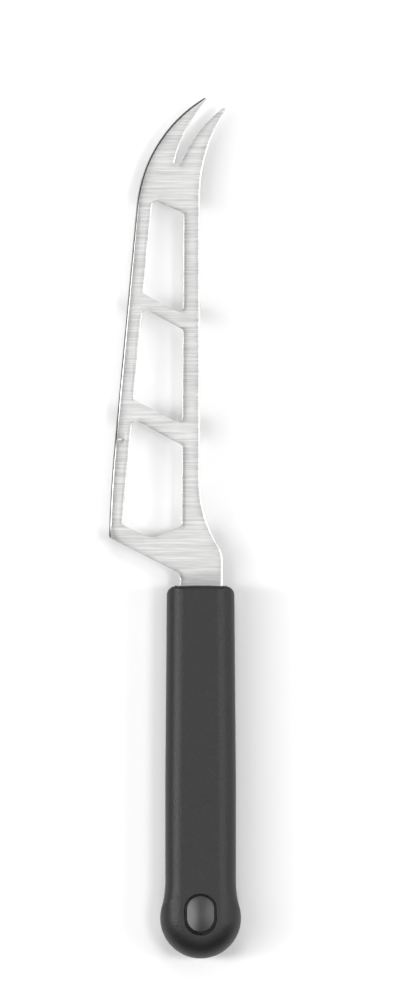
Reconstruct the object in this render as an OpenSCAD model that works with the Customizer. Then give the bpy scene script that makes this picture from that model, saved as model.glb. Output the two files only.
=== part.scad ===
// Cheese knife with a forked tip: a pierced, stamped blade and a handle moulded round its tang.
// The knife lies flat as on a table. X runs across it, +Y points to the fork and Z is up.
// Sizes are in millimetres. Along the knife they are measured from the handle's front face,
// and across it from the handle's long axis. The last lines move the whole to its own origin,
// the middle of its box at table height.

/* [Blade] */
// Thickness of the blade's sheet
blade_t = 1.5; // [1:0.1:2.4]
// Height above the handle at which the spine ends and starts to curve to the tip
spine_top = 121.9; // [112:0.5:140]
// Distance of the straight spine from the handle's axis, on the cutting side
spine_offset = 0.2; // [0:0.1:2]
// Radius of the hollow that leads from the spine to the fork
spine_hollow_r = 50.2; // [48:0.2:54]
// Height of the hollow's start at the foot of the spine
foot_top = 32.6; // [28:0.2:38]
// Radius of the hollow at the foot of the spine
foot_r = 38.5; // [34:0.5:42]
// Radius of the corner between the foot and the neck
foot_corner_r = 8; // [5:0.5:9]

/* [Cutting edge] */
// Distance of the cutting edge from the handle's axis where the belly meets the straight edge
edge_reach = 26.9; // [24:0.1:29]
// Height of that place above the handle
belly_top = 46; // [38:0.5:56]
// Lean of the straight edge towards the spine, in degrees
edge_lean = 5.3; // [4.6:0.1:5.8]
// Radius of the belly below the straight edge
belly_r = 510; // [300:10:900]
// Distance below the spine's top at which the edge starts its curve to the tip
tip_drop = 2.6; // [1:0.1:4]
// Radius of the edge's curve to the tip
tip_r = 44.4; // [43:0.1:45.6]
// Width of the ground edge bevel
bevel_w = 0.6; // [0.4:0.1:1.2]
// Width of the shallow grind behind the bevel
grind_w = 3.4; // [2.4:0.1:4.4]
// Depth that the shallow grind has reached at the bevel, on each side
grind_d = 0.12; // [0.05:0.01:0.2]
// Thickness left at the cutting edge
edge_t = 0.3; // [0.1:0.05:0.5]

/* [Fork] */
// Radius of the slot's wall next to the cutting edge
slot_outer_r = 48; // [46:0.5:52]
// Distance of that wall's arc from the handle's axis where it runs along the knife
slot_outer_reach = 9.7; // [9.3:0.1:10.2]
// Distance of that place below the spine's top
slot_outer_drop = 0.5; // [0:0.1:1.5]
// Radius of the slot's wall next to the spine
slot_inner_r = 45; // [43:0.5:46]
// Distance of that wall's arc from the handle's axis where it runs along the knife
slot_inner_reach = 10.25; // [9.75:0.05:10.6]
// Distance of that place below the spine's top
slot_inner_drop = 7.4; // [6.8:0.1:8]
// Radius of the slot's root
slot_root_r = 0.95; // [0.8:0.05:1.2]
// Radius of the cutting prong's tip
edge_tip_r = 0.5; // [0.3:0.05:0.7]
// Radius of the spine prong's tip
spine_tip_r = 0.6; // [0.4:0.05:0.7]

/* [Heel and neck] */
// Radius of the corner between the cutting edge and the heel
heel_r = 1.3; // [1:0.1:3]
// Slope of the heel, in degrees
heel_slope = 26.8; // [22:0.2:30]
// Height at which the heel's slope meets the side of the neck
heel_step = 3.8; // [3:0.1:6]
// Radius of the fillet between the heel and the neck
heel_fillet_r = 3.2; // [2:0.1:4]
// Distance of the neck's side from the handle's axis, on the cutting side
neck_edge_w = 6.5; // [6:0.1:7.5]
// Distance of the neck's other side from the handle's axis
neck_spine_w = 6.9; // [6:0.1:7.5]

/* [Windows] */
// Width of the rail between the straight cutting edge and the windows
edge_rail_w = 4.8; // [4.4:0.1:6]
// Width of the rail between the spine and the windows, at the spine's top
spine_rail_w = 5.1; // [4:0.1:6.5]
// Lean of the windows' spine side, in degrees
spine_rail_lean = 0.39; // [0:0.01:0.8]
// Radius of the windows' corners
window_corner_r = 1.45; // [0.8:0.05:2]
// Radius of the lowest window's bottom corner
window_foot_r = 3.2; // [1.5:0.1:4]

/* [Tang] */
// Depth of the tang in the handle
tang_len = 84; // [60:1:90]
// Length of the neck's full width inside the handle
tang_neck_len = 7; // [4:0.5:12]
// Width of the tang
tang_w = 10; // [8:0.5:11]
// Radius of the tang's corners
tang_corner_r = 2.5; // [1:0.1:3.5]
// Diameter of the holes that key the tang in the plastic
tang_hole_d = 5; // [3:0.5:6]
// Gap between the steel and the plastic moulded round it
mould_gap = 0.05; // [0:0.01:0.1]

/* [Handle] */
// Length of the handle
handle_len = 117.2; // [110:0.2:130]
// Thickness of the handle between its flat faces
handle_t = 18; // [15:0.5:21]
// Half width of the grip at its widest, in front of the butt
handle_w = 11.1; // [10.5:0.1:11.9]
// Narrowing of each side of the grip towards its front, as a share of the taper's length
handle_taper_share = 0.008; // [0:0.001:0.016]
// Length of the taper
handle_taper_len = 62; // [40:1:80]
// Radius of the handle's long edges
handle_edge_r = 5.8; // [4:0.1:6.2]
// Radius of the round butt
butt_r = 12.7; // [12.2:0.1:13.6]
// Radius of the butt's upper and lower edge, which is rounder than the grip's
butt_edge_r = 7.4; // [6.4:0.1:8]
// Radius of the hollow between the grip and the butt
butt_hollow_r = 30.15; // [20:0.05:45]
// Radius of the front face's dome, seen from above
front_dome_r = 100; // [70:5:200]
// Radius of the front face's side corners, seen from above
front_corner_r = 2.8; // [1.4:0.1:4]
// Radius of the front face's upper and lower edge
front_edge_r = 1.6; // [0.8:0.1:2.4]

/* [Hanging hole] */
// Width of the hole at its waist
hole_w = 8.5; // [7:0.1:10]
// Length of the hole at its waist
hole_len = 11.1; // [10:0.1:13]
// Widening of the hole on each side, from its waist to the handle's faces
hole_draft = 0.85; // [0.4:0.05:1.2]
// Distance of the hole's middle in front of the butt's centre
hole_shift = 1.3; // [0:0.1:2]

/* [Colours] */
// Colour of the blade
steel_colour = "gainsboro"; // [gainsboro, silver, lightgray]
// Colour of the handle
plastic_colour = "#26272a"; // ["#26272a", "#101010", "#404040"]

/* [Hidden] */
// Turn between the points of the spare metal outside the curve to the tip, in degrees
tip_step = 9;
// Overrun of cutting shapes past the faces that they cut
overrun = 1;
// Distance by which a rounding stands out of the sides that it joins, so that they cross
corner_lap = 0.005;
// Sides of round shapes in the preview
round_sides = 360;

// Each window's upper and lower side where it meets the spine's rail, as shares of the
// spine's height
window_height_shares = [[0.959, 0.697], [0.659, 0.415], [0.361, 0.0817]];
// Slopes of the same sides, in degrees
window_slopes = [[25.4, 28.2], [28.8, 26.7], [28.4, 26.3]];
// Height of the lowest window's foot at the spine's rail, as a share of the spine's height
window_foot_share = 0.153;
// Slope of that foot, which rises towards the spine, in degrees
window_foot_slope = 22.3;
// Places of the keying holes and of the notch between them, as shares of the tang's depth
tang_hole_shares = [0.36, 0.76];
tang_notch_share = 0.56;
// Radius of the notches, as a share of the tang's width
tang_notch_r_share = 0.15;

// Vectors, lines and circles
function polar(r, a) = [r * cos(a), r * sin(a)];
function unit(v) = v / norm(v);
function heading(v) = atan2(v.y, v.x);
// The point of a circle that lies towards a target
function on_circle(centre, r, target) = centre + r * unit(target - centre);
// The crossing of two circles that lies on the left of the way from the first to the second
function meet_circles(c1, r1, c2, r2) =
    let (
        gap = norm(c2 - c1),
        along = (gap * gap + r1 * r1 - r2 * r2) / (2 * gap),
        across = sqrt(r1 * r1 - along * along),
        dir = unit(c2 - c1)
    )
    c1 + along * dir + across * [-dir.y, dir.x];
// The crossing of two lines, each given by a point and its heading
function meet_lines(p, a, q, b) =
    let (u = polar(1, a), v = polar(1, b), t = cross(q - p, v) / cross(u, v)) p + t * u;
// The far crossing of a line with a circle
function line_to_circle(p, a, centre, r) =
    let (dir = polar(1, a), to = centre - p, aside = cross(dir, to))
    p + (to * dir + sqrt(r * r - aside * aside)) * dir;
// The centre of a corner's rounding, and the way out of it past the corner
function corner_centre(before, corner, after, r) =
    let (u = unit(before - corner), v = unit(after - corner), half = acos(u * v) / 2)
    corner + unit(u + v) * r / sin(half);

// Cutting edge: a straight stretch with a belly below it and the curve to the tip above it
edge_out = 180 - edge_lean;
edge_along = 90 - edge_lean;
belly_point = [-edge_reach, belly_top];
belly_centre = belly_point - polar(belly_r, edge_out);
straight_len = (spine_top - tip_drop - belly_top) / cos(edge_lean);
tip_point = belly_point + polar(straight_len, edge_along);
tip_centre = tip_point - polar(tip_r, edge_out);

// Fork
slot_outer_centre = [slot_outer_r - slot_outer_reach, spine_top - slot_outer_drop];
slot_inner_centre = [slot_inner_r - slot_inner_reach, spine_top - slot_inner_drop];
hollow_centre = [spine_hollow_r - spine_offset, spine_top];
edge_tip = meet_circles(tip_centre, tip_r - edge_tip_r, slot_outer_centre, slot_outer_r + edge_tip_r);
spine_tip =
    meet_circles(slot_inner_centre, slot_inner_r - spine_tip_r, hollow_centre, spine_hollow_r + spine_tip_r);
slot_root =
    meet_circles(slot_inner_centre, slot_inner_r + slot_root_r, slot_outer_centre, slot_outer_r - slot_root_r);
tip_sweep = edge_out - heading(edge_tip - tip_centre);

// Foot of the spine
foot_centre = [foot_r - spine_offset, foot_top];
foot_corner_x = neck_spine_w - foot_corner_r;
foot_corner_gap = foot_r + foot_corner_r;
foot_corner = [
    foot_corner_x,
    foot_top - sqrt(pow(foot_corner_gap, 2) - pow(foot_centre.x - foot_corner_x, 2))
];

// Heel: its rounding touches the belly and the heel's slope from inside
heel_out = 270 - heel_slope;
heel_along = 180 - heel_slope;
heel_line = [-neck_edge_w, heel_step];
heel_fillet_centre = meet_lines(
    [-neck_edge_w - heel_fillet_r, 0], 90,
    heel_line + polar(heel_fillet_r, heel_out), heel_along
);
heel_centre =
    line_to_circle(heel_line - polar(heel_r, heel_out), heel_along, belly_centre, belly_r - heel_r);

// Windows
spine_rail = [-spine_offset - spine_rail_w, spine_top];
spine_rail_along = 90 - spine_rail_lean;
edge_rail = belly_point - polar(edge_rail_w, edge_out);
function spine_corner(height) = meet_lines(spine_rail, spine_rail_along, [0, height], 0);
function edge_corner(height, slope) =
    meet_lines(spine_corner(height), 180 - slope, edge_rail, edge_along);
function upper_side(i) = window_height_shares[i][0] * spine_top;
function lower_side(i) = window_height_shares[i][1] * spine_top;

// Tang
tang_middle = (neck_spine_w - neck_edge_w) / 2;
tang_notch_r = tang_notch_r_share * tang_w;

// Handle: the strips along its sides carry the rounded edges, and a flat core joins them
handle_mid_z = handle_t / 2;
strip_w = handle_edge_r + 2 * overrun;
core_inset = handle_edge_r + overrun / 2;
butt_centre = [0, butt_r - handle_len];
hollow_x = handle_w + butt_hollow_r;
hollow_rise = sqrt(pow(butt_r + butt_hollow_r, 2) - hollow_x * hollow_x);
hollow_y = butt_centre.y + hollow_rise;
hollow_turn = atan2(hollow_rise, hollow_x);
taper_turn = asin(handle_taper_share);
taper_end = [handle_w, -handle_taper_len];
mitre_in = taper_end - polar(strip_w + overrun, taper_turn / 2);
mitre_out = taper_end + polar(overrun, taper_turn / 2);
front_corner = line_to_circle(
    taper_end - polar(front_corner_r, taper_turn), 90 + taper_turn,
    [0, -front_dome_r], front_dome_r - front_corner_r
);
front_w = front_corner.x + front_corner_r;

// Box of the whole knife
knife_left = heel_centre.x - heel_r;
knife_top = edge_tip.y + edge_tip_r;
knife_centre = [(knife_left + butt_r) / 2, (knife_top - handle_len) / 2];

module disc(centre, r) {
    translate(centre)
        circle(r, $fn = round_sides);
}

// What lies outside a rounding that starts and ends at two headings from its centre, as far
// out as the reach
module corner_waste(centre, r, from, to, reach) {
    out = reach * unit(polar(1, from) + polar(1, to));
    difference() {
        polygon([
            centre,
            centre + polar(r, from),
            centre + polar(r, from) + out,
            centre + polar(r, to) + out,
            centre + polar(r, to)
        ]);
        disc(centre, r + corner_lap);
    }
}

// A plate with straight sides and rounded corners, for outlines that are convex and run
// clockwise
module rounded_plate(points, radii) {
    n = len(points);
    difference() {
        polygon(points);
        for (i = [0:n - 1]) {
            before = points[(i + n - 1) % n];
            after = points[(i + 1) % n];
            corner_waste(
                corner_centre(before, points[i], after, radii[i]),
                radii[i],
                heading(points[i] - before) + 90,
                heading(after - points[i]) + 90,
                edge_rail_w / 2
            );
        }
    }
}

// The blank of the blade and its tang. It is too wide along the edge, where the grinding takes
// it down to size, and has no rounded corners, hollows and openings yet.
module blank() {
    spare = 2 * overrun;
    polygon(concat(
        [
            line_to_circle(heel_line, heel_along, belly_centre, belly_r + spare),
            belly_point + polar(spare, edge_out),
            tip_point + polar(spare, edge_out)
        ],
        [
            for (turn = [tip_step:tip_step:tip_sweep + tip_step])
                tip_centre + polar(tip_r + spare, edge_out - turn)
        ],
        [
            spine_tip + [0, 2 * spare],
            spine_tip + [2 * spare, 0],
            [-spine_offset, spine_top],
            [-spine_offset, foot_top],
            on_circle(foot_centre, foot_r, foot_corner),
            [neck_spine_w, foot_corner.y + foot_corner_r * sin(heading(foot_centre - foot_corner))]
        ],
        tang_points(0),
        [
            heel_fillet_centre + [heel_fillet_r, 0],
            heel_fillet_centre - polar(heel_fillet_r, heel_out)
        ]
    ));
}

// The neck's and the tang's corners, each side moved out by the gap
function tang_points(gap) =
    let (
        left = tang_middle - tang_w / 2 - gap,
        right = tang_middle + tang_w / 2 + gap,
        shoulder = -tang_neck_len - gap,
        end = -tang_len - gap
    )
    [
        [neck_spine_w + gap, shoulder],
        [right, shoulder],
        [right, end],
        [left, end],
        [left, shoulder],
        [-neck_edge_w - gap, shoulder]
    ];

// What the tang's plan lacks: its end's corners, the keying holes and the notches
module tang_cuts(gap) {
    half = tang_w / 2 + gap;
    for (side = [-1, 1]) {
        corner_waste(
            [tang_middle + side * (half - tang_corner_r), tang_corner_r - tang_len - gap],
            tang_corner_r,
            270,
            side > 0 ? 360 : 180,
            tang_corner_r
        );
        disc([tang_middle + side * half, -tang_notch_share * tang_len], tang_notch_r);
    }
    for (share = tang_hole_shares) {
        disc([tang_middle, -share * tang_len], tang_hole_d / 2 - gap);
    }
}

// The slot between the prongs, which its two arcs leave between them above the root
module fork_slot() {
    outer_end = on_circle(slot_outer_centre, slot_outer_r, slot_root);
    inner_end = on_circle(slot_inner_centre, slot_inner_r, slot_root);
    across = unit(inner_end - outer_end);
    up = [-across.y, across.x];
    aside = slot_inner_r / 2 * across;
    difference() {
        intersection() {
            disc(slot_outer_centre, slot_outer_r);
            polygon([
                outer_end - aside,
                inner_end + aside,
                inner_end + aside + slot_inner_r * up,
                outer_end - aside + slot_inner_r * up
            ]);
        }
        disc(slot_inner_centre, slot_inner_r);
    }
}

module windows() {
    last = len(window_slopes) - 1;
    foot = spine_corner(window_foot_share * spine_top);
    lower = spine_corner(lower_side(last));
    for (i = [0:last - 1]) {
        rounded_plate(
            [
                spine_corner(lower_side(i)),
                edge_corner(lower_side(i), window_slopes[i][1]),
                edge_corner(upper_side(i), window_slopes[i][0]),
                spine_corner(upper_side(i))
            ],
            [for (corner = [0:3]) window_corner_r]
        );
    }
    rounded_plate(
        [
            foot,
            meet_lines(lower, 180 - window_slopes[last][1], foot, window_foot_slope),
            edge_corner(lower_side(last), window_slopes[last][1]),
            edge_corner(upper_side(last), window_slopes[last][0]),
            spine_corner(upper_side(last))
        ],
        [window_corner_r, window_foot_r, window_corner_r, window_corner_r, window_corner_r]
    );
}

// Section of the grinding wheels that pass on both sides of the edge and leave the bevels.
// X runs in from the edge, and Y up from the sheet's middle.
module grinding_section() {
    bevel_h = blade_t / 2 - grind_d;
    clear_h = blade_t / 2 + overrun;
    polygon([
        [-3 * overrun, clear_h],
        [grind_w, clear_h],
        [grind_w, blade_t / 2],
        [bevel_w, bevel_h],
        [0, edge_t / 2],
        [0, -edge_t / 2],
        [bevel_w, -bevel_h],
        [grind_w, -blade_t / 2],
        [grind_w, -clear_h],
        [-3 * overrun, -clear_h]
    ]);
}

// The wheels' way round a centre that lies on the blade's side of the edge
module grinding_ring(centre, r) {
    translate(centre)
        rotate_extrude($fn = round_sides)
            translate([r, 0])
                mirror([1, 0])
                    grinding_section();
}

// The stretch of the wheels' way between the square lines across the edge at two points
module grinding_stretch(from, to) {
    out = 4 * overrun * polar(1, edge_out);
    in = tip_r * polar(1, -edge_lean);
    intersection() {
        children();
        translate([0, 0, -handle_mid_z])
            linear_extrude(handle_t)
                polygon([from + in, from + out, to + out, to + in]);
    }
}

// The wheels follow the belly, the straight edge and the curve to the tip in one pass
module grinding() {
    grinding_stretch(belly_point, belly_point - polar(belly_top, edge_along))
        grinding_ring(belly_centre, belly_r);
    grinding_stretch(belly_point, tip_point)
        translate(tip_point + polar(overrun, edge_along))
            rotate([90, 0, -edge_lean])
                linear_extrude(straight_len + 2 * overrun)
                    grinding_section();
    grinding_stretch(tip_point, tip_point + polar(tip_r, edge_along))
        grinding_ring(tip_centre, tip_r);
}

module blade_plan() {
    difference() {
        blank();
        disc(hollow_centre, spine_hollow_r);
        disc(foot_centre, foot_r);
        disc(heel_fillet_centre, heel_fillet_r + corner_lap);
        corner_waste(heel_centre, heel_r, heading(heel_centre - belly_centre), heel_out, 3 * overrun);
        corner_waste(
            foot_corner, foot_corner_r, 0, heading(foot_centre - foot_corner), foot_corner_r
        );
        fork_slot();
        disc(slot_root, slot_root_r + corner_lap);
        corner_waste(
            edge_tip, edge_tip_r,
            heading(edge_tip - tip_centre), heading(slot_outer_centre - edge_tip), tip_r
        );
        corner_waste(
            spine_tip, spine_tip_r,
            heading(spine_tip - slot_inner_centre), heading(hollow_centre - spine_tip), tip_r
        );
        windows();
        tang_cuts(0);
    }
}

module blade() {
    color(steel_colour) {
        difference() {
            translate([0, 0, handle_mid_z - blade_t / 2])
                linear_extrude(blade_t)
                    blade_plan();
            translate([0, 0, handle_mid_z])
                grinding();
        }
    }
}

// A strip's section with its outer side at X = 0 and that side's edges rounded
module rounded_side(w, r, lap = 0) {
    half_h = handle_t / 2 + lap;
    side_h = half_h - r;
    intersection() {
        union() {
            translate([-w, -half_h])
                square([w - r, 2 * half_h]);
            translate([-w, -side_h])
                square([w, 2 * side_h]);
            disc([-r, side_h], r);
            disc([-r, -side_h], r);
        }
        translate([-w, -half_h])
            square([w, 2 * half_h]);
    }
}

// The flat middle of the handle, which the strips along its sides overlap
module core() {
    front = front_w - core_inset;
    back = handle_w - core_inset;
    butt_steps = 4;
    butt_step = (180 + 2 * hollow_turn) / butt_steps;
    translate([0, 0, -handle_mid_z])
        linear_extrude(handle_t)
            polygon(concat(
                [
                    [-back, hollow_y],
                    [-back, -handle_taper_len],
                    [-front, 0],
                    [front, 0],
                    [back, -handle_taper_len],
                    [back, hollow_y]
                ],
                [
                    for (i = [0:butt_steps])
                        butt_centre + polar(butt_r - core_inset, hollow_turn - i * butt_step)
                ]
            ));
}

// A half of the plan on one side of the mitre between a side's taper and its straight stretch
module mitre_half(end_y) {
    translate([0, 0, -handle_t])
        linear_extrude(2 * handle_t)
            polygon([mitre_in, mitre_out, [mitre_out.x, end_y], [mitre_in.x, end_y]]);
}

module tapered_side() {
    intersection() {
        translate(taper_end)
            rotate([0, 0, taper_turn])
                rotate([90, 0, 0])
                    translate([0, 0, -handle_taper_len - overrun])
                        linear_extrude(handle_taper_len + 2 * overrun)
                            rounded_side(strip_w, handle_edge_r);
        mitre_half(handle_t);
    }
}

module straight_side() {
    intersection() {
        translate([handle_w, overrun - handle_taper_len, 0])
            rotate([90, 0, 0])
                linear_extrude(overrun - handle_taper_len - hollow_y)
                    rounded_side(strip_w, handle_edge_r);
        mitre_half(-handle_len);
    }
}

// The hollow side ends on the line through the butt's centre where the butt takes over
module hollow_side() {
    intersection() {
        translate([hollow_x, hollow_y, 0])
            rotate_extrude($fn = round_sides)
                translate([butt_hollow_r, 0])
                    mirror([1, 0])
                        rounded_side(strip_w, handle_edge_r);
        translate([0, 0, -handle_t])
            linear_extrude(2 * handle_t)
                polygon([butt_centre, [hollow_x, hollow_y], [0, hollow_y]]);
    }
}

module butt_side() {
    intersection() {
        translate(butt_centre)
            rotate_extrude($fn = round_sides)
                translate([butt_r, 0])
                    rounded_side(strip_w, handle_edge_r);
        translate([0, 0, -handle_t])
            linear_extrude(2 * handle_t)
                polygon([
                    butt_centre,
                    [hollow_x, hollow_y],
                    [hollow_x, -2 * handle_len],
                    [-hollow_x, -2 * handle_len],
                    [-hollow_x, hollow_y]
                ]);
    }
}

// The rounder section of the butt, which trims the sides and leaves the slimmer grip alone
module butt_section() {
    translate([butt_r + corner_lap, 0])
        rounded_side(butt_r + corner_lap, butt_edge_r + corner_lap, corner_lap);
}

module butt_trim() {
    intersection() {
        translate(butt_centre)
            rotate_extrude($fn = round_sides)
                butt_section();
        translate([-2 * butt_r, butt_centre.y - 2 * butt_r, -handle_t])
            cube([4 * butt_r, 2 * butt_r, 2 * handle_t]);
    }
    translate([0, hollow_y + overrun, 0])
        rotate([90, 0, 0])
            linear_extrude(hollow_y + overrun - butt_centre.y) {
                butt_section();
                mirror([1, 0])
                    butt_section();
            }
    translate([-2 * butt_r, hollow_y, -handle_t])
        cube([4 * butt_r, overrun - hollow_y, 2 * handle_t]);
}

// What the front's side corners lose
module front_waste() {
    translate([0, 0, -handle_t])
        linear_extrude(2 * handle_t)
            corner_waste(
                front_corner, front_corner_r,
                taper_turn, 90, front_w
            );
}

module grip() {
    difference() {
        intersection() {
            union() {
                core();
                for (side = [0, 1]) {
                    mirror([side, 0, 0]) {
                        tapered_side();
                        straight_side();
                        hollow_side();
                    }
                }
                butt_side();
            }
            butt_trim();
            translate([0, -front_dome_r, 0])
                rotate_extrude($fn = round_sides)
                    translate([front_dome_r, 0])
                        rounded_side(front_dome_r, front_edge_r);
        }
        front_waste();
        mirror([1, 0, 0])
            front_waste();
    }
}

// The pocket that the tang fills, with the plastic that fills the keying holes left standing
module pocket_plan() {
    points = tang_points(mould_gap);
    difference() {
        polygon(concat(
            [[points[5].x, overrun], [points[0].x, overrun]],
            points
        ));
        tang_cuts(mould_gap);
    }
}

// Half of the drafted hole, from its waist up past the handle's face
module hole_half() {
    depth = handle_t / 2 + overrun;
    waist_r = hole_w / 2;
    mouth_r = waist_r + hole_draft * depth / (handle_t / 2);
    half_len = hole_len / 2 - waist_r;
    for (y = [-half_len, half_len]) {
        translate([0, y, 0])
            cylinder(h = depth, r1 = waist_r, r2 = mouth_r, $fn = round_sides);
    }
    translate([0, half_len, 0])
        rotate([90, 0, 0])
            linear_extrude(2 * half_len)
                polygon([[-waist_r, 0], [waist_r, 0], [mouth_r, depth], [-mouth_r, depth]]);
}

module handle() {
    color(plastic_colour) {
        translate([0, 0, handle_mid_z]) {
            difference() {
                grip();
                translate([0, butt_centre.y + hole_shift, 0]) {
                    hole_half();
                    mirror([0, 0, 1])
                        hole_half();
                }
                translate([0, 0, -blade_t / 2 - mould_gap])
                    linear_extrude(blade_t + 2 * mould_gap)
                        pocket_plan();
            }
        }
    }
}

translate([-knife_centre.x, -knife_centre.y, 0]) {
    blade();
    handle();
}
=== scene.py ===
"""Cheese knife with a forked tip, lying flat: its looks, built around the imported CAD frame.

The frame gives the exact solids. Each of the knife's two pieces is built here from a merged copy
of its solid, with the small roundings that stamping, polishing and moulding leave, and with a
procedural finish. Lengths are in millimetres in the dataclasses, and in metres in the meshes.
"""

import logging
import math
from dataclasses import dataclass, field
from enum import Enum
from typing import Callable, Iterable, Optional

import bmesh
import bpy
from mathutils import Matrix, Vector
from mathutils.kdtree import KDTree


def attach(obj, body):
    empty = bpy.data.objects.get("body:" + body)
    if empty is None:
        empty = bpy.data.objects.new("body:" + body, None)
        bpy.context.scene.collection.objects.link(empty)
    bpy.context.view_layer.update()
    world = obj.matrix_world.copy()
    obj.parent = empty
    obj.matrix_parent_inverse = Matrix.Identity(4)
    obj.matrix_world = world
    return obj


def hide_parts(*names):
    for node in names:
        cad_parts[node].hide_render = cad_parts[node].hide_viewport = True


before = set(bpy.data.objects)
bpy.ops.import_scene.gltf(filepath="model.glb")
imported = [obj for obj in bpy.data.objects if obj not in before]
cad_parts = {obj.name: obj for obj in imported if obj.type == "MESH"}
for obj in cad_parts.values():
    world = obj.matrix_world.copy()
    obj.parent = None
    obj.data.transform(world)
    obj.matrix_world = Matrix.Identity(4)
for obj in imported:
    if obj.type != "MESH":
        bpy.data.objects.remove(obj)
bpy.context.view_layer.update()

log = logging.getLogger("cheese_knife")

MM = 0.001
PHOTO_SIZE = (400, 999)


class LampShape(Enum):
    """Outline of a soft light's front: a round diffuser, or a narrow card along the knife."""

    ROUND = "DISK"
    CARD = "RECTANGLE"


def linear(hex_colour: str) -> tuple[float, float, float, float]:
    """Turn an sRGB hex colour into a linear colour.

    Args:
        hex_colour: The colour as "#rrggbb".

    Returns:
        Red, green, blue and an alpha of one.
    """
    parts = [int(hex_colour[i : i + 2], 16) / 255 for i in (1, 3, 5)]
    lin = [c / 12.92 if c <= 0.04045 else ((c + 0.055) / 1.055) ** 2.4 for c in parts]
    return (lin[0], lin[1], lin[2], 1.0)


def add_node(
    tree: bpy.types.NodeTree,
    kind: str,
    settings: Optional[dict[str, object]] = None,
    inputs: Optional[dict[object, object]] = None,
) -> bpy.types.Node:
    """Add a node with its settings, input values and links.

    Args:
        tree: The node tree that gets it.
        kind: The node's type, such as "ShaderNodeBump".
        settings: Attributes of the node.
        inputs: Input sockets by name or number, each with a value or with a socket to link from.

    Returns:
        The new node.
    """
    node = tree.nodes.new(kind)
    for name, value in (settings or {}).items():
        setattr(node, name, value)
    for name, value in (inputs or {}).items():
        if isinstance(value, bpy.types.NodeSocket):
            tree.links.new(value, node.inputs[name])
        else:
            node.inputs[name].default_value = value
    return node


def new_material(name: str) -> tuple[bpy.types.Material, bpy.types.NodeTree]:
    """Make an empty node material.

    Args:
        name: Name of the finish.

    Returns:
        The material and its node tree.
    """
    material = bpy.data.materials.new(name)
    material.use_nodes = True
    material.node_tree.nodes.clear()
    return material, material.node_tree


@dataclass(frozen=True)
class BrushedStainless:
    """Stainless sheet, ground and brushed crosswise with a belt.

    To the eye it is a light neutral metal with fine streaks across the blade, and its
    reflections are drawn out along the knife.
    """

    name: str = "brushed_stainless_steel"
    colour: str = "#e6e6e5"
    roughness: float = 0.32
    roughness_spread: float = 0.04
    anisotropy: float = 0.9
    # A quarter turn lays the reflections along the knife, square to the scratches.
    anisotropy_turn: float = 0.25
    map_name: str = "plan_map"
    # A belt of grit 240 leaves scratches of about 0.06 mm. They are drawn 0.5 mm wide, so that
    # a picture of the whole knife still shows them.
    scratch_w: float = 0.5
    scratch_len: float = 14.0
    scratch_depth: float = 0.0016
    streak_detail: float = 3.0
    streak_roughness: float = 0.6
    streak_middle: float = 0.5
    # Share of the noise's height that is drawn out to full contrast on each side of its middle.
    streak_range: float = 0.16
    tone_spread: float = 0.26

    def build(self) -> bpy.types.Material:
        """Build the material.

        Returns:
            The finished material.
        """
        material, tree = new_material(self.name)
        coords = add_node(tree, "ShaderNodeTexCoord")
        stretch = (1 / (self.scratch_len * MM), 1 / (self.scratch_w * MM), 1 / (self.scratch_w * MM))
        mapping = add_node(
            tree, "ShaderNodeMapping", inputs={"Vector": coords.outputs["Object"], "Scale": stretch}
        )
        streaks = add_node(
            tree,
            "ShaderNodeTexNoise",
            inputs={
                "Vector": mapping.outputs["Vector"],
                "Scale": 1.0,
                "Detail": self.streak_detail,
                "Roughness": self.streak_roughness,
            },
        )
        contrast = add_node(
            tree,
            "ShaderNodeMapRange",
            inputs={
                "Value": streaks.outputs[0],
                "From Min": self.streak_middle - self.streak_range,
                "From Max": self.streak_middle + self.streak_range,
            },
        )
        # A Mix node repeats its sockets for each kind of data: 0, 6 and 7 are the colour's share
        # and its two colours, and output 2 is the mixed colour.
        dark = tuple(c * (1 - self.tone_spread) for c in linear(self.colour)[:3]) + (1.0,)
        tone = add_node(
            tree,
            "ShaderNodeMix",
            {"data_type": "RGBA"},
            {0: contrast.outputs["Result"], 6: dark, 7: linear(self.colour)},
        )
        rough = add_node(
            tree,
            "ShaderNodeMapRange",
            inputs={
                "Value": contrast.outputs["Result"],
                "To Min": self.roughness - self.roughness_spread,
                "To Max": self.roughness + self.roughness_spread,
            },
        )
        bump = add_node(
            tree,
            "ShaderNodeBump",
            inputs={
                "Strength": 1.0,
                "Distance": self.scratch_depth * MM,
                "Height": streaks.outputs[0],
            },
        )
        scratch_way = add_node(
            tree, "ShaderNodeTangent", {"direction_type": "UV_MAP", "uv_map": self.map_name}
        )
        shader = add_node(
            tree,
            "ShaderNodeBsdfPrincipled",
            inputs={
                "Base Color": tone.outputs[2],
                "Metallic": 1.0,
                "Roughness": rough.outputs["Result"],
                "Anisotropic": self.anisotropy,
                "Anisotropic Rotation": self.anisotropy_turn,
                "Tangent": scratch_way.outputs["Tangent"],
                "Normal": bump.outputs["Normal"],
            },
        )
        add_node(tree, "ShaderNodeOutputMaterial", inputs={"Surface": shader.outputs["BSDF"]})
        return material


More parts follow.
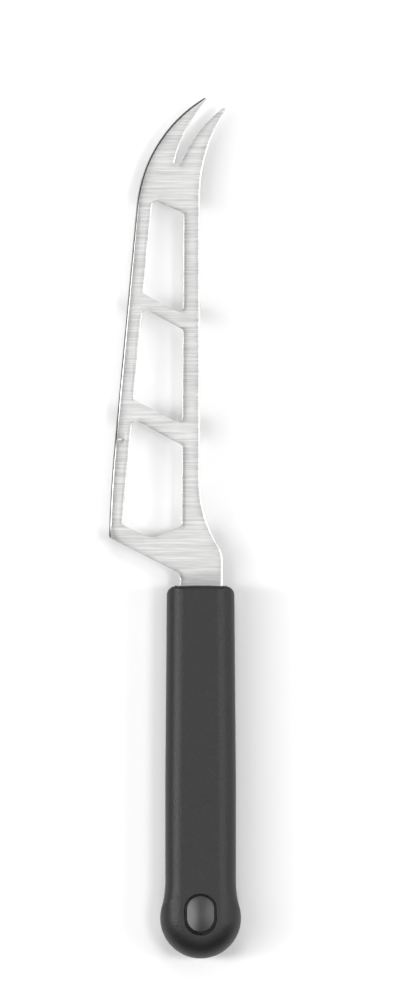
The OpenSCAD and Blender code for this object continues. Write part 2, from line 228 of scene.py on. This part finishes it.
@dataclass(frozen=True)
class MattPolypropylene:
    """Black polypropylene, injection moulded in a spark-eroded cavity.

    To the eye it is a soft black with wide dull highlights, broken up by a fine even grain.
    """

    name: str = "matt_black_polypropylene"
    colour: str = "#0c0c0c"
    roughness: float = 0.45
    ior: float = 1.49
    # The cavity's grain is about 0.1 mm. It is drawn 0.6 mm wide, so that a picture of the
    # whole knife still shows it.
    grain_w: float = 0.6
    grain_depth: float = 0.12
    grain_detail: float = 2.0
    grain_roughness: float = 0.5

    def build(self) -> bpy.types.Material:
        """Build the material.

        Returns:
            The finished material.
        """
        material, tree = new_material(self.name)
        coords = add_node(tree, "ShaderNodeTexCoord")
        grain = add_node(
            tree,
            "ShaderNodeTexNoise",
            inputs={
                "Vector": coords.outputs["Object"],
                "Scale": 1 / (self.grain_w * MM),
                "Detail": self.grain_detail,
                "Roughness": self.grain_roughness,
            },
        )
        bump = add_node(
            tree,
            "ShaderNodeBump",
            inputs={
                "Strength": 1.0,
                "Distance": self.grain_depth * MM,
                "Height": grain.outputs[0],
            },
        )
        shader = add_node(
            tree,
            "ShaderNodeBsdfPrincipled",
            inputs={
                "Base Color": linear(self.colour),
                "Roughness": self.roughness,
                "IOR": self.ior,
                "Normal": bump.outputs["Normal"],
            },
        )
        add_node(tree, "ShaderNodeOutputMaterial", inputs={"Surface": shader.outputs["BSDF"]})
        return material


@dataclass(frozen=True)
class PaperSweep:
    """White seamless paper under the knife. To the eye it is an even dull white."""

    name: str = "white_seamless_paper"
    colour: str = "#f4f4f4"
    roughness: float = 0.9

    def build(self) -> bpy.types.Material:
        """Build the material.

        Returns:
            The finished material.
        """
        material, tree = new_material(self.name)
        shader = add_node(
            tree,
            "ShaderNodeBsdfPrincipled",
            inputs={"Base Color": linear(self.colour), "Roughness": self.roughness},
        )
        add_node(tree, "ShaderNodeOutputMaterial", inputs={"Surface": shader.outputs["BSDF"]})
        return material


@dataclass
class KnifePiece:
    """A piece of the knife that is built from a merged copy of its exact solid."""

    node: str
    slot: str
    name: str
    # Vertices closer than this are one, and facets that turn less than the flat angle are one
    # flat face. Faces that turn more than the sharp angle keep a line between them.
    weld: float = 0.0001
    flat_angle: float = 0.05
    sharp_angle: float = 35.0

    def merged_solid(self) -> bmesh.types.BMesh:
        """Copy the solid's mesh, join its loose triangles and clear its flat faces of lines.

        Returns:
            The copy as a closed bmesh.
        """
        bm = bmesh.new()
        bm.from_mesh(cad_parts[self.node].data)
        bmesh.ops.remove_doubles(bm, verts=bm.verts[:], dist=self.weld * MM)
        bmesh.ops.dissolve_degenerate(bm, dist=self.weld * MM, edges=bm.edges[:])
        bmesh.ops.dissolve_limit(
            bm,
            angle_limit=math.radians(self.flat_angle),
            use_dissolve_boundaries=False,
            verts=bm.verts[:],
            edges=bm.edges[:],
            delimit=set(),
        )
        return bm

    def round_edges(
        self,
        bm: bmesh.types.BMesh,
        wanted: Callable[[bmesh.types.BMEdge], bool],
        width: float,
        segments: int,
    ) -> None:
        """Round the edges that a test picks.

        Args:
            bm: The mesh to change.
            wanted: Says whether an edge is rounded.
            width: Width of the rounding on each face, in millimetres.
            segments: Number of facets across the rounding.
        """
        edges = [e for e in bm.edges if len(e.link_faces) == 2 and wanted(e)]
        bmesh.ops.bevel(
            bm,
            geom=edges,
            offset=width * MM,
            offset_type="OFFSET",
            affect="EDGES",
            segments=segments,
            profile=0.5,
            material=-1,
            clamp_overlap=False,
            loop_slide=True,
        )

    def finish_piece(self, bm: bmesh.types.BMesh, material: bpy.types.Material) -> bpy.types.Object:
        """Make the object, smooth its shading, hang it under the root body and hide the CAD node
        that it stands for.

        Args:
            bm: The finished mesh, which is freed here.
            material: The piece's finish.

        Returns:
            The new object.
        """
        bmesh.ops.recalc_face_normals(bm, faces=bm.faces[:])
        for face in bm.faces:
            face.smooth = True
        mesh = bpy.data.meshes.new(self.name)
        bm.to_mesh(mesh)
        bm.free()
        piece = bpy.data.objects.new(self.name, mesh)
        bpy.context.scene.collection.objects.link(piece)
        mesh.materials.append(material)
        mesh.set_sharp_from_angle(angle=math.radians(self.sharp_angle))
        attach(piece, "root")
        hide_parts(self.node)
        log.info("%s: %d faces", self.name, len(mesh.polygons))
        return piece


@dataclass(frozen=True)
class Falloff:
    """How far a polished face falls away towards a line: its slope there, and its reach."""

    slope: float
    width: float

    def slope_at(self, away: float) -> float:
        """Give the slope at a distance from the line, in millimetres."""
        return self.slope * math.exp(-away / self.width)

    def drop_at(self, away: float) -> float:
        """Give the drop at a distance from the line, both in millimetres."""
        return self.slope_at(away) * self.width


@dataclass
class Blade(KnifePiece):
    """The stamped blade, with edges rounded in the tumbler and a crisp ground cutting edge."""

    node: str = "blade"
    slot: str = "steel"
    name: str = "forked_blade"
    rim_r: float = 0.1
    rim_segments: int = 3
    # Half the thin flat along the cutting edge, with a little room, and half the sheet.
    edge_half_t: float = 0.16
    sheet_half_t: float = 0.75
    # Height of the sheet's middle above the table.
    middle_z: float = 9.0
    # How much a face points up, from 0 for a cut side to 1 for a broad face.
    cut_side_up: float = 0.1
    ground_up: tuple[float, float] = (0.5, 0.95)
    broad_up: float = 0.8
    polished_up: float = 0.96
    # Belt brushing wears the sheet down a little towards every cut side, and softens the line
    # where the ground bevel starts.
    rim_fall: Falloff = Falloff(slope=0.16, width=1.0)
    # This reach counts from the cutting edge, so that it has a way to lean on the line itself.
    bevel_fall: Falloff = Falloff(slope=0.15, width=1.4)
    # Squares across and along the knife, in front of a line just inside the handle.
    grid: tuple[float, float] = (0.6, 0.8)
    front_y: float = -19.0
    outline_step: float = 0.06
    finish: BrushedStainless = field(default_factory=BrushedStainless)
    # The grinding wheel leaves the bevel smoother than the belt leaves the broad faces. Its grey
    # colour is painted shade, which draws the dark line along the cutting edge.
    ground_finish_painted_shade: BrushedStainless = BrushedStainless(
        name="ground_steel_painted_shade",
        colour="#8a8a8a",
        roughness=0.14,
        roughness_spread=0.02,
        anisotropy=0.0,
        scratch_depth=0.0003,
        tone_spread=0.05,
    )

    def is_ground(self, face: bmesh.types.BMFace) -> bool:
        """Say whether a face of the sheet belongs to the ground bevel."""
        return self.ground_up[0] < abs(face.normal.z) < self.ground_up[1]

    def is_stamped_rim(self, edge: bmesh.types.BMEdge) -> bool:
        """Say whether an edge runs between a broad face and the sheet's cut side.

        Args:
            edge: An edge with two faces.

        Returns:
            True for a rim, and False for the lines of the grinding and the cutting edge.
        """
        up = sorted(abs(f.normal.z) for f in edge.link_faces)
        is_rim = up[0] < self.cut_side_up and up[1] > self.broad_up
        return is_rim and not self.is_cutting_edge(edge)

    def is_cutting_edge(self, edge: bmesh.types.BMEdge) -> bool:
        """Say whether an edge lies in the thin flat that the grinding leaves at the front."""
        return all(abs(v.co.z / MM - self.middle_z) < self.edge_half_t for v in edge.verts)

    def points_along(
        self, bm: bmesh.types.BMesh, wanted: Callable[[bmesh.types.BMEdge], bool]
    ) -> KDTree:
        """Lay closely spaced points along some of the sheet's lines, seen from above.

        Args:
            bm: The sheet before its rims are rounded.
            wanted: Says whether points are laid along an edge.

        Returns:
            The points, ready for a search of the nearest one.
        """
        points: list[Vector] = []
        for edge in bm.edges:
            if len(edge.link_faces) == 2 and wanted(edge):
                start, end = (v.co for v in edge.verts)
                steps = max(1, math.ceil((end - start).length / (self.outline_step * MM)))
                points += [start.lerp(end, i / steps) for i in range(steps + 1)]
        tree = KDTree(len(points))
        for number, point in enumerate(points):
            tree.insert((point.x, point.y, 0.0), number)
        tree.balance()
        return tree

    def slice_faces(
        self, bm: bmesh.types.BMesh, faces: list[bmesh.types.BMFace], axis: int, places: list[float]
    ) -> None:
        """Cut faces at several places along an axis, the middle place first.

        Args:
            bm: The mesh to change.
            faces: The faces to cut.
            axis: 0 to cut at places on X, and 1 on Y.
            places: The places of the cuts in order, in metres.
        """
        if not places or not faces:
            return
        middle = len(places) // 2
        way = Vector((float(axis == 0), float(axis == 1), 0.0))
        verts = {v for f in faces for v in f.verts}
        edges = {e for f in faces for e in f.edges}
        cut = bmesh.ops.bisect_plane(
            bm,
            geom=list(verts) + list(edges) + faces,
            dist=self.weld * MM,
            plane_co=way * places[middle],
            plane_no=way,
        )
        parts = [g for g in cut["geom"] if isinstance(g, bmesh.types.BMFace)]
        below = [f for f in parts if f.calc_center_median()[axis] < places[middle]]
        above = [f for f in parts if f.calc_center_median()[axis] >= places[middle]]
        self.slice_faces(bm, below, axis, places[:middle])
        self.slice_faces(bm, above, axis, places[middle + 1 :])

    def lay_grid(self, bm: bmesh.types.BMesh) -> None:
        """Cut the broad faces outside the handle into small squares, so that they can be crowned.

        Args:
            bm: The sheet, which is changed.
        """
        bmesh.ops.triangulate(bm, faces=bm.faces[:])
        front = self.front_y * MM
        for axis in (1, 0):
            low = min(v.co[axis] for v in bm.verts) if axis == 0 else front
            high = max(v.co[axis] for v in bm.verts)
            count = int((high - low) / (self.grid[axis] * MM))
            broad = [
                f
                for f in bm.faces
                if abs(f.normal.z) > self.broad_up and max(v.co.y for v in f.verts) > front
            ]
            places = [low + (i + 1) * self.grid[axis] * MM for i in range(count)]
            self.slice_faces(bm, broad, axis, places)
        bmesh.ops.dissolve_degenerate(bm, dist=self.weld * MM, edges=bm.edges[:])

    def crown(self, bm: bmesh.types.BMesh, rims: KDTree) -> None:
        """Let the broad faces fall away a little towards the cut sides.

        Args:
            bm: The sheet, which is changed.
            rims: Points along the cut sides.
        """
        for vert in bm.verts:
            away = rims.find((vert.co.x, vert.co.y, 0.0))[2] / MM
            height = vert.co.z / MM - self.middle_z
            vert.co.z -= self.rim_fall.drop_at(away) * height / self.sheet_half_t * MM

    def polish(self, mesh: bpy.types.Mesh, rims: KDTree, cutting_edge: KDTree) -> None:
        """Give the broad faces the exact normals of their falling away, free of facets.

        Args:
            mesh: The finished mesh, which is changed.
            rims: Points along the cut sides.
            cutting_edge: Points along the edge that the ground bevel runs down to.
        """
        normals = [corner.vector.copy() for corner in mesh.corner_normals]
        broad = [f for f in mesh.polygons if abs(f.normal.z) > self.polished_up]
        leans: dict[int, Vector] = {}
        for number in {v for face in broad for v in face.vertices}:
            place = Vector((*mesh.vertices[number].co[:2], 0.0))
            lean = Vector((0.0, 0.0, 0.0))
            for tree, fall in ((rims, self.rim_fall), (cutting_edge, self.bevel_fall)):
                near, _, away = tree.find(place)
                if away > 0.0:
                    lean += (near - place) / away * fall.slope_at(away / MM)
            leans[number] = lean
        for face in broad:
            side = math.copysign(1.0, face.normal.z)
            for loop in face.loop_indices:
                lean = leans[mesh.loops[loop].vertex_index]
                normals[loop] = (lean + Vector((0.0, 0.0, side))).normalized()
        mesh.normals_split_custom_set(normals)

    def map_plan(self, bm: bmesh.types.BMesh) -> None:
        """Give the sheet a map of its plan, which the brushing follows.

        Args:
            bm: The sheet, which is changed.
        """
        layer = bm.loops.layers.uv.new(self.finish.map_name)
        for face in bm.faces:
            for loop in face.loops:
                loop[layer].uv = (loop.vert.co.x, loop.vert.co.y)

    def build(self) -> bpy.types.Object:
        """Build and dress the blade.

        Returns:
            The blade's object.
        """
        bm = self.merged_solid()
        rims = self.points_along(bm, self.is_stamped_rim)
        cutting_edge = self.points_along(bm, self.is_cutting_edge)
        # The ground bevel's faces take the second finish, whose grey colour is painted shade.
        for face in bm.faces:
            face.material_index = int(self.is_ground(face))
        self.round_edges(bm, self.is_stamped_rim, self.rim_r, self.rim_segments)
        self.lay_grid(bm)
        self.crown(bm, rims)
        self.map_plan(bm)
        piece = self.finish_piece(bm, self.finish.build())
        piece.data.materials.append(self.ground_finish_painted_shade.build())
        self.polish(piece.data, rims, cutting_edge)
        return piece


@dataclass
class Handle(KnifePiece):
    """The moulded handle, with its crisp lines broken by a small radius."""

    node: str = "handle"
    slot: str = "black_plastic"
    name: str = "moulded_handle"
    crease_r: float = 0.3
    crease_segments: int = 3
    crease_angle: float = 28.0
    finish: MattPolypropylene = field(default_factory=MattPolypropylene)

    def is_crease(self, edge: bmesh.types.BMEdge) -> bool:
        """Say whether two faces meet at a line that the mould's cutter left.

        Args:
            edge: An edge with two faces.

        Returns:
            True for the hole's rims and the creases of the front face.
        """
        return edge.calc_face_angle(0.0) > math.radians(self.crease_angle)

    def build(self) -> bpy.types.Object:
        """Build and dress the handle.

        Returns:
            The handle's object.
        """
        bm = self.merged_solid()
        self.round_edges(bm, self.is_crease, self.crease_r, self.crease_segments)
        piece = self.finish_piece(bm, self.finish.build())
        weights = piece.modifiers.new("weighted_normals", "WEIGHTED_NORMAL")
        weights.keep_sharp = True
        return piece


@dataclass
class Softbox:
    """A soft light that faces a point of the knife.

    Its azimuth and elevation are in degrees, from the right of the knife round to its fork, and
    up from the table. Its lengths are in metres and its power in watts.
    """

    name: str
    azimuth: float
    elevation: float
    width: float
    power: float
    distance: float = 3.0
    shape: LampShape = LampShape.ROUND
    # Length of a card along the knife. A round light has none.
    length: float = 0.8

    def build(self, target: Vector) -> bpy.types.Object:
        """Hang the light.

        Args:
            target: The point that it faces, in metres.

        Returns:
            The light's object.
        """
        data = bpy.data.lights.new(self.name, "AREA")
        data.shape = self.shape.value
        data.size = self.width
        if self.shape is LampShape.CARD:
            data.size_y = self.length
        data.energy = self.power
        lamp = bpy.data.objects.new(self.name, data)
        turn, rise = math.radians(self.azimuth), math.radians(self.elevation)
        way = Vector(
            (math.cos(turn) * math.cos(rise), math.sin(turn) * math.cos(rise), math.sin(rise))
        )
        lamp.location = target + way * self.distance
        lamp.rotation_euler = way.to_track_quat("Z", "Y").to_euler()
        bpy.context.scene.collection.objects.link(lamp)
        log.info("%s: %.1f W", self.name, self.power)
        return lamp


@dataclass
class Studio:
    """The table, the lights round it and the camera above it.

    The middle of the view, its plane and a pixel are in millimetres, as the knife is, and so is
    the camera's sensor. The other lengths are in metres.
    """

    view_centre: tuple[float, float] = (7.86, 8.98)
    view_plane: float = 9.0
    mm_per_pixel: float = 0.314173
    camera_distance: float = 4.0
    table_side: float = 6.0
    sensor_width: float = 36.0
    clip: tuple[float, float] = (0.1, 100.0)
    ambient: float = 0.12
    # The lights stand round a dark room, so that the steel's rims and the ground bevel stay dark
    # beside the bright broad faces. Two cards above the knife draw the gleam on the blade's right.
    lights: tuple[Softbox, ...] = (
        Softbox("left_softbox_low", 180.0, 34.0, 0.8, 24.7),
        Softbox("left_softbox_middle", 180.0, 46.0, 0.8, 14.6),
        Softbox("left_softbox_high", 180.0, 58.0, 0.8, 11.4),
        Softbox("left_of_camera", 180.0, 70.0, 0.6, 8.8),
        Softbox("right_kicker", 0.0, 14.0, 0.8, 9.2),
        Softbox("right_softbox", 0.0, 44.0, 0.8, 19.5),
        Softbox("right_of_camera", 0.0, 70.0, 0.6, 17.8),
        Softbox("top_softbox_low", 90.0, 34.0, 1.2, 9.9),
        Softbox("top_softbox_high", 90.0, 54.0, 1.2, 10.6),
        Softbox("top_right_softbox", 45.0, 60.0, 0.8, 5.2),
        Softbox("below_softbox", 270.0, 56.0, 0.8, 6.4),
        Softbox("below_camera", 270.0, 74.0, 0.6, 2.2),
        Softbox("overhead_card", 0.0, 84.3, 0.15, 0.46, 1.5, LampShape.CARD),
        Softbox("overhead_card_outer", 0.0, 78.7, 0.15, 0.22, 1.5, LampShape.CARD),
    )
    paper: PaperSweep = field(default_factory=PaperSweep)

    def lay_table(self) -> bpy.types.Object:
        """Lay the white table under the knife.

        Returns:
            The table's object.
        """
        bm = bmesh.new()
        bmesh.ops.create_grid(bm, x_segments=1, y_segments=1, size=self.table_side / 2)
        mesh = bpy.data.meshes.new("table")
        bm.to_mesh(mesh)
        bm.free()
        table = bpy.data.objects.new("table", mesh)
        bpy.context.scene.collection.objects.link(table)
        mesh.materials.append(self.paper.build())
        return table

    def light_room(self) -> None:
        """Set the even light of the white room, and hang the softboxes."""
        world = bpy.data.worlds.new("white_room")
        world.use_nodes = True
        world.node_tree.nodes.clear()
        room = add_node(
            world.node_tree,
            "ShaderNodeBackground",
            inputs={"Color": (1.0, 1.0, 1.0, 1.0), "Strength": self.ambient},
        )
        add_node(
            world.node_tree, "ShaderNodeOutputWorld", inputs={"Surface": room.outputs["Background"]}
        )
        bpy.context.scene.world = world
        target = Vector((self.view_centre[0] * MM, self.view_centre[1] * MM, 0.0))
        for light in self.lights:
            light.build(target)

    def set_camera(self) -> bpy.types.Object:
        """Put a long lens straight above the knife.

        Returns:
            The camera's object.
        """
        data = bpy.data.cameras.new("camera")
        width, height = PHOTO_SIZE
        data.sensor_fit = "AUTO"
        data.sensor_width = self.sensor_width
        view_height = max(width, height) * self.mm_per_pixel * MM
        data.lens = self.sensor_width * self.camera_distance / view_height
        data.clip_start, data.clip_end = self.clip
        camera = bpy.data.objects.new("camera", data)
        camera.location = (
            self.view_centre[0] * MM,
            self.view_centre[1] * MM,
            self.view_plane * MM + self.camera_distance,
        )
        bpy.context.scene.collection.objects.link(camera)
        bpy.context.scene.camera = camera
        return camera

    def build(self) -> None:
        """Build the table, the lights and the camera."""
        self.lay_table()
        self.light_room()
        self.set_camera()
        bpy.context.scene.view_settings.view_transform = "Standard"


def main() -> None:
    """Build the knife and the studio in order."""
    logging.basicConfig(level=logging.INFO, format="%(name)s %(message)s")
    Studio().build()
    for part in (Blade(), Handle()):
        part.build()
    bpy.context.view_layer.update()


if __name__ == "__main__":
    main()
